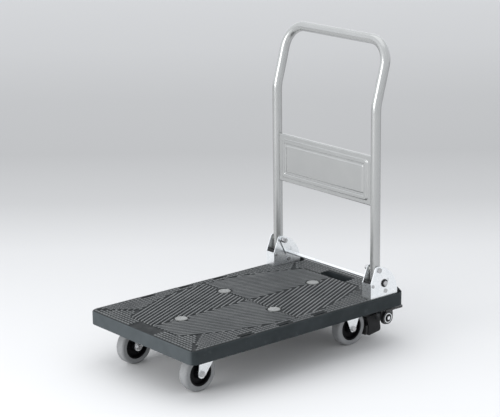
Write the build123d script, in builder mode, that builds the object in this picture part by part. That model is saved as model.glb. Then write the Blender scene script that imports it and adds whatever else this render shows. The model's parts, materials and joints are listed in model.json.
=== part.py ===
from build123d import *
import os
from math import atan2, cos, degrees, hypot, radians, sin, sqrt

# Folding platform cart: a moulded deck on two swivel and two rigid casters, a tube handle
# that folds down over the deck, a sprung release rod and a pedal brake on the rear wheels.
# Millimetres. +X points to the handle end, +Y across the deck, +Z up, floor at Z = 0.

os.makedirs("parts", exist_ok=True)

# ---------------------------------------------------------------- driving dimensions
fit_gap = 0.05             # radial gap of pins and bushes that stay put
running_gap = 0.06         # radial gap of a joint that turns
side_gap = 0.3             # gap between faces that move past each other

deck_length = 740.0
deck_width = 450.0
deck_corner_r = 22.0
deck_edge_r = 4.0
deck_top_wall = 6.0
deck_side_wall = 4.5
deck_pad = 11.0            # thickness of the deck where something is bolted to it
skirt_height = 36.5
rib_wall = 3.5
rib_depth = 20.0
rib_pitch = 75.0
pedal_overhang = 15.0      # the pedal's toe beyond the rear edge of the deck

wheel_d = 100.0
tyre_thickness = 15.0
tyre_width = 30.0
hub_width = 34.0
hub_bore_r = 7.0 + running_gap
sleeve_r = 7.0
axle_r = 4.0
fork_sheet = 2.5
fork_headroom = 16.0       # from the tyre up to the swivel fork's crown
swivel_gap = 12.0          # from the crown up to the top plate
plate_sheet = 3.0
plate_length = 92.0
plate_width = 64.0
bolt_span_x = 76.0
bolt_span_y = 46.0
caster_bolt_r = 4.0
insert_r = 5.5
insert_depth = 9.0
kingpin_r = 6.0
crown_r = 36.0
trail = 32.0               # from the swivel axis forward to the wheel's axle
track = 274.0              # between the middles of the left and right wheels
front_axle_inset = 81.0    # from the deck's front edge
rear_axle_inset = 131.0    # from the deck's rear edge

tube_d = 27.2
tube_wall = 1.6
post_inset = 91.0          # from the deck's rear edge
post_side_inset = 24.0
handle_height = 854.0      # floor to the top of the handle
lean_rise = 169.0          # height of the handle's leaning part
lean_back = 47.5
corner_bend_r = 65.0
lean_bend_r = 110.0
panel_below_bend = 135.5
panel_height = 138.0
panel_sheet = 1.5
panel_return = 9.0         # depth of the panel's turned top and bottom edges
panel_ahead = 5.0          # of the posts' middle plane
bead_inset = 14.0          # from the panel's edges to its raised bead
bead_width = 12.0
bead_rise = 2.2
field_inset = 31.0         # to the raised middle field
field_rise = 1.5
weld_gap = 0.2

pivot_height = 77.0        # of the handle's pivot above the deck
tube_below_pivot = 32.5
bracket_sheet = 2.3
bracket_ahead = 31.0       # from the post to the bracket's front wall
bracket_behind = 68.0
front_wall_height = 43.0
cheek_gap = 1.2            # between the tube and a bracket cheek
cheek_r = 85.5             # of the cheeks' rounded rear outline
cheek_centre_x = -17.0
cheek_centre_z = 4.0
seat_depth = 0.8           # of the recess that each bracket stands in
seat_margin = 2.0
cheek_slope_x = -12.5      # where the sloping front edge meets the round outline
pivot_bolt_r = 4.0
rod_r = 4.75
rod_behind_post = 19.0
rod_below_pivot = 39.0
release_travel = 15.0      # degrees
arm_sheet = 3.0
arm_half_width = 9.0
spring_wire_r = 0.9
spring_turns = 3

slot_length = 108.0        # hand slot in the deck, across it
slot_width = 36.0
slot_inset = 30.0          # from the deck's rear edge
slot_corner_r = 12.0
slot_rim = 4.0
strap_slot_length = 37.0
strap_slot_width = 6.0
strap_slot_depth = 3.0
strap_slot_inset = 13.0
strap_slot_pitch = 125.0
strap_slot_shift = -60.0
disc_r = 17.0
disc_along = 232.0
disc_across = 105.0
disc_proud = 2.6
disc_seat = 1.5
disc_stem_r = 5.0
disc_rib_gap_r = 11.0
guard_height = 15.0
guard_gap = 1.5
guard_slope = 3.0

brake_travel = 8.0         # degrees from off to on
brake_axis_inset = 28.0    # from the deck's rear edge
brake_axis_z = 65.5
brake_tube_d = 27.2
brake_tube_wall = 2.0
brake_tube_half = 190.0
brake_arm_width = 36.0
brake_arm_sheet = 3.0
pad_thickness = 8.0
pad_gap_on = 0.4           # between the pad and the tyre with the brake on
hanger_sheet = 3.0
hanger_y = 178.0
hanger_r = 20.0
pedal_sheet = 6.0
pedal_z = 92.0

# ---------------------------------------------------------------- worked-out sizes
wheel_r = wheel_d / 2
axle_z = wheel_r
hub_r = wheel_r - tyre_thickness
crown_z = wheel_d + fork_headroom
caster_height = crown_z + plate_sheet + swivel_gap + plate_sheet
plate_z = caster_height - plate_sheet
deck_top_z = caster_height + deck_pad
skirt_z = deck_top_z - skirt_height
deck_ceiling_z = deck_top_z - deck_top_wall
rib_z = deck_ceiling_z - rib_depth

deck_x = -pedal_overhang / 2
deck_front_x = deck_x - deck_length / 2
deck_rear_x = deck_x + deck_length / 2
wheel_y = track / 2
front_axle_x = deck_front_x + front_axle_inset
swivel_x = front_axle_x + trail
rear_axle_x = deck_rear_x - rear_axle_inset
fork_inner = hub_width / 2 + 1.5
fork_outer = fork_inner + fork_sheet

tube_r = tube_d / 2
post_x = deck_rear_x - post_inset
post_y = deck_width / 2 - post_side_inset
top_z = handle_height - tube_r
bend_z = top_z - lean_rise
pivot_z = deck_top_z + pivot_height
tube_end_z = pivot_z - tube_below_pivot
seat_z = deck_top_z - seat_depth
cheek_inner = tube_r + cheek_gap
cheek_outer = cheek_inner + bracket_sheet
inner_face_y = post_y - cheek_outer
outer_face_y = post_y + cheek_outer
rod_x = post_x + rod_behind_post
rod_z = pivot_z - rod_below_pivot
rod_reach = hypot(rod_behind_post, rod_below_pivot)
rod_angle = degrees(atan2(-rod_below_pivot, rod_behind_post))

brake_x = deck_rear_x - brake_axis_inset
brake_tube_r = brake_tube_d / 2
slot_x = deck_rear_x - slot_inset - slot_width / 2
sides = (-1, 1)
side_name = {-1: "right", 1: "left"}
caster_bolts_at = [(sx * bolt_span_x / 2, sy * bolt_span_y / 2) for sx in sides for sy in sides]
bracket_bolt_shifts = (-14.0, 46.0)
bracket_bolts_at = [(post_x + dx, s * post_y) for dx in bracket_bolt_shifts for s in sides]
bracket_bolt_r = 4.0
nut_clear_r = 14.0
hanger_screw_r = 3.0
hanger_half_length = 25.0
hanger_flange = 26.0
hanger_screws_at = [
    (brake_x + dx, s * (hanger_y - hanger_flange / 2)) for dx in (-15.0, 15.0) for s in sides
]
hanger_screw_depth = 8.0
strap_slots_at = [deck_x + strap_slot_shift + k * strap_slot_pitch for k in (-1, 0, 1)]
discs_at = [
    (deck_x - disc_along, 0),
    (deck_x + disc_along, 0),
    (deck_x, -disc_across),
    (deck_x, disc_across),
]


# ---------------------------------------------------------------- helpers
def save(builder, name):
    builder.part.label = name
    export_step(builder.part, f"parts/{name}.step")


def bar_y(x, z, r, y0, y1, mode=Mode.ADD):
    """A round bar along Y from y0 to y1."""
    with Locations((x, (y0 + y1) / 2, z)):
        Cylinder(r, abs(y1 - y0), rotation=(90, 0, 0), mode=mode)


def bar_z(x, y, r, z0, z1, mode=Mode.ADD):
    """A round bar along Z from z0 to z1."""
    with Locations((x, y, (z0 + z1) / 2)):
        Cylinder(r, abs(z1 - z0), mode=mode)


def block(x0, x1, y0, y1, z0, z1, mode=Mode.ADD):
    """A box between two corners."""
    with Locations(((x0 + x1) / 2, (y0 + y1) / 2, (z0 + z1) / 2)):
        Box(abs(x1 - x0), abs(y1 - y0), abs(z1 - z0), mode=mode)


def hexagon(plane, flats, length):
    """A hexagonal prism that rises from a plane."""
    with BuildSketch(plane) as outline:
        RegularPolygon(flats / 2, 6, major_radius=False)
    extrude(outline.sketch, amount=length)


def plane_y(x, y, z, toward=1):
    """A plane square to Y whose normal points along toward * Y."""
    return Plane(origin=(x, y, z), x_dir=(1, 0, 0), z_dir=(0, toward, 0))


# ---------------------------------------------------------------- deck
caster_places = [(x, s * wheel_y) for x in (swivel_x, rear_axle_x) for s in sides]
pad_margin = 6.0
bays_x = max(2, round(deck_length / rib_pitch))
bays_y = max(2, round(deck_width / rib_pitch))
ribs_x = [deck_front_x + deck_length * k / bays_x for k in range(1, bays_x)]
ribs_y = [-deck_width / 2 + deck_width * k / bays_y for k in range(1, bays_y)]

with BuildPart() as deck:
    with BuildSketch(Plane.XY.offset(skirt_z)):
        with Locations((deck_x, 0)):
            RectangleRounded(deck_length, deck_width, deck_corner_r)
    extrude(amount=skirt_height)
    fillet(deck.faces().sort_by(Axis.Z)[-1].edges(), deck_edge_r)
    with BuildSketch(Plane.XY.offset(skirt_z)):
        with Locations((deck_x, 0)):
            RectangleRounded(
                deck_length - 2 * deck_side_wall,
                deck_width - 2 * deck_side_wall,
                deck_corner_r - deck_side_wall,
            )
    extrude(amount=skirt_height - deck_top_wall, mode=Mode.SUBTRACT)
    # ribs below the top, cut away where casters, nuts and hangers go
    with BuildSketch(Plane.XY.offset(rib_z)):
        with Locations(*[(x, 0) for x in ribs_x]):
            Rectangle(rib_wall, deck_width - deck_side_wall)
        with Locations(*[(deck_x, y) for y in ribs_y]):
            Rectangle(deck_length - deck_side_wall, rib_wall)
        with Locations((slot_x, 0)):
            RectangleRounded(
                slot_width + 2 * slot_rim, slot_length + 2 * slot_rim, slot_corner_r + slot_rim
            )
    extrude(amount=rib_depth)
    with BuildSketch(Plane.XY.offset(rib_z)):
        with Locations(*caster_places):
            Rectangle(plate_length + 4 * pad_margin, plate_width + 4 * pad_margin)
        with Locations(*bracket_bolts_at):
            Circle(nut_clear_r)
        for s in sides:
            with Locations((brake_x, s * (hanger_y - hanger_flange / 2))):
                Rectangle(2 * hanger_half_length + 2 * pad_margin, hanger_flange + 2 * pad_margin)
    extrude(amount=caster_height - rib_z, mode=Mode.SUBTRACT)
    with BuildSketch(Plane.XY.offset(rib_z)):
        with Locations(*discs_at):
            Circle(disc_rib_gap_r)
    extrude(amount=rib_depth, mode=Mode.SUBTRACT)
    # pads that thicken the top where something is bolted on
    with BuildSketch(Plane.XY.offset(caster_height)):
        with Locations(*caster_places):
            Rectangle(plate_length + 2 * pad_margin, plate_width + 2 * pad_margin)
        for s in sides:
            with Locations((post_x + (bracket_behind - bracket_ahead) / 2, s * post_y)):
                Rectangle(bracket_behind + bracket_ahead, 2 * cheek_outer)
            with Locations((brake_x, s * (hanger_y - hanger_flange / 2))):
                Rectangle(2 * hanger_half_length + pad_margin, hanger_flange + pad_margin)
    extrude(amount=deck_pad - deck_top_wall / 2)
    # recesses that the handle brackets stand in, with a guard behind each
    guard_x0 = post_x + bracket_behind + guard_gap
    seat_x0 = post_x - bracket_ahead - seat_margin
    for s in sides:
        seat_y = (s * post_y - cheek_outer - seat_margin, s * post_y + cheek_outer + seat_margin)
        block(seat_x0, guard_x0, seat_y[0], seat_y[1], seat_z, deck_top_z, Mode.SUBTRACT)
    guard_x1 = deck_rear_x - deck_edge_r
    for s in sides:
        with BuildSketch(Plane.XZ.offset(-s * post_y)):
            with BuildLine():
                Polyline(
                    (guard_x0, deck_top_z - deck_top_wall / 2),
                    (guard_x1, deck_top_z - deck_top_wall / 2),
                    (guard_x1, deck_top_z),
                    (guard_x0 + guard_slope, deck_top_z + guard_height),
                    (guard_x0, deck_top_z + guard_height),
                    close=True,
                )
            make_face()
        extrude(amount=cheek_outer - 2.0, both=True)
    # hand slot
    with BuildSketch(Plane.XY.offset(skirt_z)):
        with Locations((slot_x, 0)):
            RectangleRounded(slot_width, slot_length, slot_corner_r)
    extrude(amount=skirt_height, mode=Mode.SUBTRACT)
    # blind strap slots along both long edges
    with BuildSketch(Plane.XY.offset(deck_top_z - strap_slot_depth)):
        for s in sides:
            with Locations(*[(x, s * (deck_width / 2 - strap_slot_inset)) for x in strap_slots_at]):
                SlotOverall(strap_slot_length, strap_slot_width)
    extrude(amount=strap_slot_depth, mode=Mode.SUBTRACT)
    # seats and stem holes of the discs
    with BuildSketch(Plane.XY.offset(deck_top_z - disc_seat)):
        with Locations(*discs_at):
            Circle(disc_r + fit_gap)
    extrude(amount=disc_seat, mode=Mode.SUBTRACT)
    with BuildSketch(Plane.XY.offset(skirt_z)):
        with Locations(*discs_at):
            Circle(disc_stem_r + fit_gap)
        with Locations(*bracket_bolts_at):
            Circle(bracket_bolt_r + 0.3)
    extrude(amount=skirt_height, mode=Mode.SUBTRACT)
    # threaded inserts of the casters and the hanger screws
    with BuildSketch(Plane.XY.offset(caster_height)):
        with Locations(*[(x + dx, y + dy) for x, y in caster_places for dx, dy in caster_bolts_at]):
            Circle(insert_r + fit_gap)
    extrude(amount=insert_depth, mode=Mode.SUBTRACT)
    with BuildSketch(Plane.XY.offset(caster_height)):
        with Locations(*hanger_screws_at):
            Circle(hanger_screw_r + fit_gap)
    extrude(amount=hanger_screw_depth, mode=Mode.SUBTRACT)
save(deck, "deck")

with BuildPart() as discs:
    for x, y in discs_at:
        bar_z(x, y, disc_r, deck_top_z - disc_seat, deck_top_z + disc_proud)
        bar_z(x, y, disc_stem_r, deck_ceiling_z - 1.0, deck_top_z)
        with Locations((x, y, deck_ceiling_z - 1.0)):
            Cone(disc_stem_r - 2.0, disc_stem_r + 3.0, 3.0, align=(Align.CENTER, Align.CENTER, Align.MAX))
    fillet(discs.faces().filter_by(Axis.Z).group_by(Axis.Z)[-1].edges(), 1.0)
save(discs, "deck_discs")

with BuildPart() as inserts:
    for x, y in caster_places:
        for dx, dy in caster_bolts_at:
            bar_z(x + dx, y + dy, insert_r, caster_height, caster_height + insert_depth)
    for x, y in caster_places:
        for dx, dy in caster_bolts_at:
            bore = caster_bolt_r + fit_gap
            bar_z(x + dx, y + dy, bore, plate_z, deck_top_z, Mode.SUBTRACT)
save(inserts, "caster_inserts")

with BuildPart() as caster_bolts:
    for x, y in caster_places:
        for dx, dy in caster_bolts_at:
            head = Plane(origin=(x + dx, y + dy, plate_z), z_dir=(0, 0, -1))
            hexagon(head, 13.0, 5.3)
            bar_z(x + dx, y + dy, caster_bolt_r, plate_z - 1.0, caster_height + insert_depth - 1)
save(caster_bolts, "caster_bolts")


# ---------------------------------------------------------------- casters
def make_swivel_plate(side):
    y = side * wheel_y
    boss_r = 28.0
    with BuildPart() as plate:
        with BuildSketch(Plane.XY.offset(plate_z)):
            with Locations((swivel_x, y)):
                RectangleRounded(plate_length, plate_width, 6.0)
        extrude(amount=plate_sheet)
        bar_z(swivel_x, y, boss_r, crown_z + plate_sheet + 3.0, plate_z)
        bar_z(swivel_x, y, kingpin_r + fit_gap, crown_z, caster_height, Mode.SUBTRACT)
        for dx, dy in caster_bolts_at:
            bore = caster_bolt_r + 0.4
            bar_z(swivel_x + dx, y + dy, bore, crown_z, caster_height, Mode.SUBTRACT)
    save(plate, f"swivel_plate_{side_name[side]}")


def fork_holes(x, y):
    bar_y(x, axle_z, axle_r + fit_gap, y - 2 * fork_outer, y + 2 * fork_outer, Mode.SUBTRACT)


def make_swivel_fork(side):
    y = side * wheel_y
    with BuildPart() as fork:
        with BuildSketch(Plane.XY.offset(crown_z)):
            with Locations((swivel_x, y)):
                Circle(crown_r)
                Rectangle(2 * crown_r - 2, 2 * fork_outer)
        extrude(amount=plate_sheet)
        bar_z(swivel_x, y, crown_r, crown_z, crown_z + plate_sheet + 8.0)
        low = crown_z + plate_sheet
        bar_z(swivel_x, y, crown_r - 3.0, low, low + 8.0, Mode.SUBTRACT)
        for leg in sides:
            start = y + leg * fork_inner
            with BuildSketch(plane_y(0, start, 0, leg)):
                with Locations((front_axle_x, -leg * axle_z)):
                    Circle(12.0)
                with Locations((swivel_x, -leg * (crown_z + 1.0))):
                    Rectangle(2 * crown_r - 2, 2.0)
                make_hull()
            extrude(amount=fork_sheet)
        bar_z(swivel_x, y, kingpin_r + running_gap, crown_z - 1, low + 1, Mode.SUBTRACT)
        fork_holes(front_axle_x, y)
    save(fork, f"swivel_fork_{side_name[side]}")


def make_rigid_fork(side):
    y = side * wheel_y
    shoulder = 30.0
    with BuildPart() as fork:
        with BuildSketch(Plane.XY.offset(plate_z)):
            with Locations((rear_axle_x, y)):
                RectangleRounded(plate_length, plate_width, 6.0)
        extrude(amount=plate_sheet)
        for leg in sides:
            start = y + leg * fork_inner
            with BuildSketch(plane_y(0, start, 0, leg)):
                with Locations((rear_axle_x, -leg * axle_z)):
                    Circle(10.0)
                with Locations((rear_axle_x, -leg * (plate_z + wheel_d) / 2)):
                    Rectangle(2 * shoulder, plate_z - wheel_d + 2.0)
                make_hull()
            extrude(amount=fork_sheet)
        for dx, dy in caster_bolts_at:
            bore = caster_bolt_r + 0.4
            bar_z(rear_axle_x + dx, y + dy, bore, plate_z - 1, caster_height + 1, Mode.SUBTRACT)
        fork_holes(rear_axle_x, y)
    save(fork, f"rigid_fork_{side_name[side]}")


def make_wheel(end, x, side):
    y = side * wheel_y
    name = f"{end}_{side_name[side]}"
    half = hub_width / 2
    middle = Axis((x, y, axle_z), (0, 1, 0))
    rim_half = tyre_width / 2 - 1.5
    with BuildPart() as hub:
        with BuildSketch(Plane.YZ.offset(x)):
            with BuildLine():
                Polyline(
                    (y - half, axle_z + hub_bore_r),
                    (y + half, axle_z + hub_bore_r),
                    (y + half, axle_z + 13.0),
                    (y + 5.0, axle_z + 16.0),
                    (y + 4.0, axle_z + hub_r - 6.0),
                    (y + rim_half, axle_z + hub_r - 4.0),
                    (y + rim_half, axle_z + hub_r),
                    (y - rim_half, axle_z + hub_r),
                    (y - rim_half, axle_z + hub_r - 4.0),
                    (y - 4.0, axle_z + hub_r - 6.0),
                    (y - 5.0, axle_z + 16.0),
                    (y - half, axle_z + 13.0),
                    close=True,
                )
            make_face()
        revolve(axis=middle)
    save(hub, f"hub_{name}")
    with BuildPart() as tyre:
        with BuildSketch(Plane.YZ.offset(x)) as section:
            with Locations((y, axle_z + (wheel_r + hub_r + fit_gap) / 2)):
                Rectangle(tyre_width, wheel_r - hub_r - fit_gap)
            fillet(section.vertices().group_by(Axis.Y)[-1], 7.0)
        revolve(axis=middle)
    save(tyre, f"tyre_{name}")


def make_axle_set(prefix, suffix, x, at_sides):
    """The axle bolts, nuts and sleeves of some wheels."""
    with BuildPart() as axles:
        for side in at_sides:
            y = side * wheel_y
            hexagon(plane_y(x, y + side * fork_outer, axle_z, side), 13.0, 5.3)
            bar_y(x, axle_z, axle_r, y - side * (fork_outer + 8.5), y + side * (fork_outer + 1.0))
    save(axles, f"{prefix}_axle{suffix}")
    with BuildPart() as nuts:
        for side in at_sides:
            y = side * wheel_y
            hexagon(plane_y(x, y - side * fork_outer, axle_z, -side), 13.0, 6.5)
        for side in at_sides:
            y = side * wheel_y
            bore = axle_r + fit_gap
            bar_y(x, axle_z, bore, y - fork_outer - 10, y + fork_outer + 10, Mode.SUBTRACT)
    save(nuts, f"{prefix}_axle_nut{suffix}")
    with BuildPart() as sleeves:
        for side in at_sides:
            y = side * wheel_y
            bar_y(x, axle_z, sleeve_r, y - fork_inner + fit_gap, y + fork_inner - fit_gap)
        for side in at_sides:
            y = side * wheel_y
            bar_y(x, axle_z, axle_r + fit_gap, y - fork_outer, y + fork_outer, Mode.SUBTRACT)
    save(sleeves, f"{prefix}_sleeve{suffix}")


for side in sides:
    make_swivel_plate(side)
    make_swivel_fork(side)
    make_rigid_fork(side)
    make_wheel("front", front_axle_x, side)
    make_wheel("rear", rear_axle_x, side)
    make_axle_set("front", f"_{side_name[side]}", front_axle_x, (side,))
make_axle_set("rear", "s", rear_axle_x, sides)

with BuildPart() as kingpins:
    for s in sides:
        bar_z(swivel_x, s * wheel_y, kingpin_r, crown_z - 4.0, caster_height)
        bar_z(swivel_x, s * wheel_y, 11.0, crown_z - 4.0, crown_z - side_gap)
save(kingpins, "kingpins")

with BuildPart() as thrust_rings:
    ring_z = crown_z + plate_sheet + side_gap
    for s in sides:
        bar_z(swivel_x, s * wheel_y, 27.0, ring_z, ring_z + 2.4)
    for s in sides:
        bar_z(swivel_x, s * wheel_y, 20.0, ring_z, ring_z + 2.4, Mode.SUBTRACT)
save(thrust_rings, "thrust_rings")


# ---------------------------------------------------------------- handle
with BuildPart() as handle_tube:
    with BuildLine() as run:
        FilletPolyline(
            (post_x, -post_y, tube_end_z),
            (post_x, -post_y, bend_z),
            (post_x + lean_back, -post_y, top_z),
            (post_x + lean_back, post_y, top_z),
            (post_x, post_y, bend_z),
            (post_x, post_y, tube_end_z),
            radius=[lean_bend_r, corner_bend_r, corner_bend_r, lean_bend_r],
        )
    with BuildSketch(Plane(origin=run.line @ 0, z_dir=run.line % 0)):
        Circle(tube_r)
        Circle(tube_r - tube_wall, mode=Mode.SUBTRACT)
    sweep()
    bush_r = pivot_bolt_r + running_gap + 2.5
    for s in sides:
        reach = (s * post_y - cheek_inner, s * post_y + cheek_inner)
        bar_y(post_x, pivot_z, bush_r + fit_gap, reach[0], reach[1], Mode.SUBTRACT)
save(handle_tube, "handle_tube")

with BuildPart() as pivot_bushes:
    half_bush = cheek_inner - side_gap
    for s in sides:
        bar_y(post_x, pivot_z, bush_r, s * post_y - half_bush, s * post_y + half_bush)
    for s in sides:
        bore = pivot_bolt_r + running_gap
        bar_y(post_x, pivot_z, bore, s * post_y - tube_d, s * post_y + tube_d, Mode.SUBTRACT)
save(pivot_bushes, "pivot_bushes")

with BuildPart() as end_plugs:
    for s in sides:
        bar_z(post_x, s * post_y, tube_r - 0.4, tube_end_z - 1.2, tube_end_z)
        plug_r = tube_r - tube_wall - fit_gap
        bar_z(post_x, s * post_y, plug_r, tube_end_z, pivot_z - bush_r - 10.0)
save(end_plugs, "tube_end_plugs")

panel_top_z = bend_z - panel_below_bend
panel_low_z = panel_top_z - panel_height
panel_x = post_x - panel_ahead
panel_half = post_y - sqrt(tube_r**2 - (panel_ahead - panel_sheet / 2) ** 2) - weld_gap
flange_half = post_y - tube_r - weld_gap
with BuildPart() as panel:
    front_x = panel_x - panel_sheet / 2
    back_x = panel_x + panel_sheet / 2
    block(front_x, back_x, -panel_half, panel_half, panel_low_z, panel_top_z)
    for z0 in (panel_low_z, panel_top_z - panel_sheet):
        block(front_x, front_x + panel_return, -flange_half, flange_half, z0, z0 + panel_sheet)
    face_plane = Plane(
        origin=(panel_x, 0, panel_low_z + panel_height / 2), x_dir=(0, -1, 0), z_dir=(-1, 0, 0)
    )
    bead_inner = bead_inset + bead_width
    with BuildSketch(face_plane):
        RectangleRounded(2 * (panel_half - bead_inset), panel_height - 2 * bead_inset, 9.0)
        RectangleRounded(
            2 * (panel_half - bead_inner), panel_height - 2 * bead_inner, 5.0, mode=Mode.SUBTRACT
        )
    extrude(amount=panel_sheet / 2 + bead_rise)
    with BuildSketch(face_plane):
        RectangleRounded(2 * (panel_half - field_inset), panel_height - 2 * field_inset, 4.0)
    extrude(amount=panel_sheet / 2 + field_rise)
save(panel, "handle_panel")


# ---------------------------------------------------------------- handle brackets
stop_x = post_x - 23.0
stop_z = deck_top_z + 36.0
stop_pin_r = 3.0
stop_below = 7.0
stop_above = 12.5
tie_x = post_x + 24.0
tie_z = deck_top_z + 15.0
tie_pin_r = 4.0


def make_bracket(side):
    y = side * post_y
    start = degrees(atan2(sqrt(cheek_r**2 - (cheek_slope_x - cheek_centre_x) ** 2),
                          cheek_slope_x - cheek_centre_x))
    end_rise = sqrt(cheek_r**2 - (bracket_behind - cheek_centre_x) ** 2)
    end = degrees(atan2(end_rise, bracket_behind - cheek_centre_x))
    centre = (post_x + cheek_centre_x, deck_top_z + cheek_centre_z)
    wall_top = (post_x - bracket_ahead, deck_top_z + front_wall_height)
    with BuildPart() as bracket:
        with BuildSketch(Plane.XZ.offset(-y)) as cheek:
            with BuildLine():
                base = Line(
                    (post_x + bracket_behind, seat_z), (post_x - bracket_ahead, seat_z)
                )
                front = Line(base @ 1, wall_top)
                arc = CenterArc(centre, cheek_r, end, start - end)
                Line(front @ 1, arc @ 1)
                Line(arc @ 0, base @ 0)
            make_face()
            fillet(cheek.vertices().sort_by(Axis.Y)[-1], 9.0)
        extrude(amount=cheek_outer, both=True)
        inside = (y - cheek_inner, y + cheek_inner)
        floor_z = seat_z + bracket_sheet
        over_z = pivot_z + cheek_r
        wall_x = post_x - bracket_ahead
        behind_x = post_x + bracket_behind + 1
        block(wall_x + bracket_sheet, behind_x, inside[0], inside[1], floor_z, over_z, Mode.SUBTRACT)
        block(wall_x - 1, behind_x, inside[0], inside[1], wall_top[1], over_z, Mode.SUBTRACT)
        through = (y - 2 * cheek_outer, y + 2 * cheek_outer)
        for x, z, r in (
            (post_x, pivot_z, pivot_bolt_r),
            (stop_x, stop_z, stop_pin_r),
            (tie_x, tie_z, tie_pin_r),
        ):
            bar_y(x, z, r + fit_gap, through[0], through[1], Mode.SUBTRACT)
        with BuildSketch(Plane.XZ.offset(-y)):
            with BuildLine():
                sweep_arc = CenterArc(
                    (post_x, pivot_z), rod_reach, rod_angle - 1.5, release_travel + 3.0
                )
            trace(sweep_arc, 2 * (rod_r + 0.5))
            for t in (0, 1):
                with Locations(sweep_arc @ t):
                    Circle(rod_r + 0.5)
        extrude(amount=2 * cheek_outer, both=True, mode=Mode.SUBTRACT)
        for dx in bracket_bolt_shifts:
            bar_z(post_x + dx, y, bracket_bolt_r + 0.3, seat_z - 1, floor_z + 1, Mode.SUBTRACT)
    save(bracket, f"hinge_bracket_{side_name[side]}")


for side in sides:
    make_bracket(side)

with BuildPart() as bracket_bolts:
    for x, y in bracket_bolts_at:
        hexagon(Plane(origin=(x, y, seat_z + bracket_sheet)), 13.0, 5.3)
        bar_z(x, y, bracket_bolt_r, caster_height - 9.0, seat_z + bracket_sheet + 1.0)
save(bracket_bolts, "bracket_bolts")

with BuildPart() as bracket_nuts:
    for x, y in bracket_bolts_at:
        hexagon(Plane(origin=(x, y, caster_height), z_dir=(0, 0, -1)), 13.0, 6.5)
        bar_z(x, y, 10.0, caster_height - 1.6, caster_height)
    for x, y in bracket_bolts_at:
        bar_z(x, y, bracket_bolt_r + fit_gap, skirt_z, deck_top_z, Mode.SUBTRACT)
save(bracket_nuts, "bracket_nuts")

arm_outer_y = inner_face_y - side_gap
arm_inner_y = arm_outer_y - arm_sheet
spring_length = 6.0
nut_y = arm_inner_y - spring_length - 2 * side_gap
with BuildPart() as pivot_bolts:
    for s in sides:
        with Locations((post_x, s * (outer_face_y + 1.5), pivot_z)):
            Cylinder(7.0, 3.0, rotation=(90, 0, 0))
        bar_y(post_x, pivot_z, pivot_bolt_r, s * (nut_y - 8.0), s * (outer_face_y + 1.0))
save(pivot_bolts, "pivot_bolts")

with BuildPart() as pivot_nuts:
    for s in sides:
        hexagon(plane_y(post_x, s * nut_y, pivot_z, -s), 13.0, 6.5)
    for s in sides:
        bore = pivot_bolt_r + fit_gap
        bar_y(post_x, pivot_z, bore, s * (nut_y - 10.0), s * (nut_y + 1.0), Mode.SUBTRACT)
save(pivot_nuts, "pivot_nuts")

with BuildPart() as stops:
    stop_face_x = post_x - tube_r - side_gap
    for s in sides:
        half_stop = cheek_inner - fit_gap
        block(
            post_x - bracket_ahead + bracket_sheet + fit_gap,
            stop_face_x,
            s * post_y - half_stop,
            s * post_y + half_stop,
            stop_z - stop_below,
            stop_z + stop_above,
        )
    fillet(stops.edges().filter_by(Axis.Y), 2.0)
    for s in sides:
        reach = (s * post_y - tube_d, s * post_y + tube_d)
        bar_y(stop_x, stop_z, stop_pin_r + fit_gap, reach[0], reach[1], Mode.SUBTRACT)
save(stops, "handle_stops")


def make_cross_pins(name, x, z, r, head_r):
    with BuildPart() as pins:
        for s in sides:
            low, high = s * post_y - cheek_outer, s * post_y + cheek_outer
            bar_y(x, z, r, low - 1.0, high + 1.0)
            bar_y(x, z, head_r, high + fit_gap, high + 1.5)
            bar_y(x, z, head_r, low - 1.5, low - fit_gap)
    save(pins, name)


make_cross_pins("stop_pins", stop_x, stop_z, stop_pin_r, 4.5)
make_cross_pins("tie_rivets", tie_x, tie_z, tie_pin_r, 6.0)

# ---------------------------------------------------------------- release rod and its arms
washer_r = 11.0
washer_sheet = 1.5
cap_r = 7.0
cap_length = 4.8
washer_y = outer_face_y + side_gap
cap_y = washer_y + washer_sheet
with BuildPart() as release_rod:
    end_y = cap_y + cap_length - 1.5
    bar_y(rod_x, rod_z, rod_r, -end_y, end_y)
save(release_rod, "release_rod")

with BuildPart() as rod_washers:
    for s in sides:
        bar_y(rod_x, rod_z, washer_r, s * washer_y, s * cap_y)
    bar_y(rod_x, rod_z, rod_r + fit_gap, -2 * cap_y, 2 * cap_y, Mode.SUBTRACT)
save(rod_washers, "rod_washers")

with BuildPart() as rod_caps:
    for s in sides:
        bar_y(rod_x, rod_z, cap_r, s * cap_y, s * (cap_y + cap_length))
    fillet(rod_caps.faces().filter_by(Axis.Y).sort_by(Axis.Y)[0].edges(), 1.5)
    fillet(rod_caps.faces().filter_by(Axis.Y).sort_by(Axis.Y)[-1].edges(), 1.5)
    bore_end_y = end_y + fit_gap
    bar_y(rod_x, rod_z, rod_r + fit_gap, -bore_end_y, bore_end_y, Mode.SUBTRACT)
save(rod_caps, "rod_caps")


def make_release_arm(side):
    start = side * arm_outer_y
    with BuildPart() as arm:
        with BuildSketch(plane_y(0, start, 0, -side)):
            for x, z in ((post_x, pivot_z), (rod_x, rod_z)):
                with Locations((x, side * z)):
                    Circle(arm_half_width)
            make_hull()
        extrude(amount=arm_sheet)
        low, high = sorted((start + side * 2, start - side * (arm_sheet + 2)))
        bar_y(post_x, pivot_z, pivot_bolt_r + running_gap, low, high, Mode.SUBTRACT)
        bar_y(rod_x, rod_z, rod_r + fit_gap, low, high, Mode.SUBTRACT)
    save(arm, f"release_arm_{side_name[side]}")


for side in sides:
    make_release_arm(side)

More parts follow.
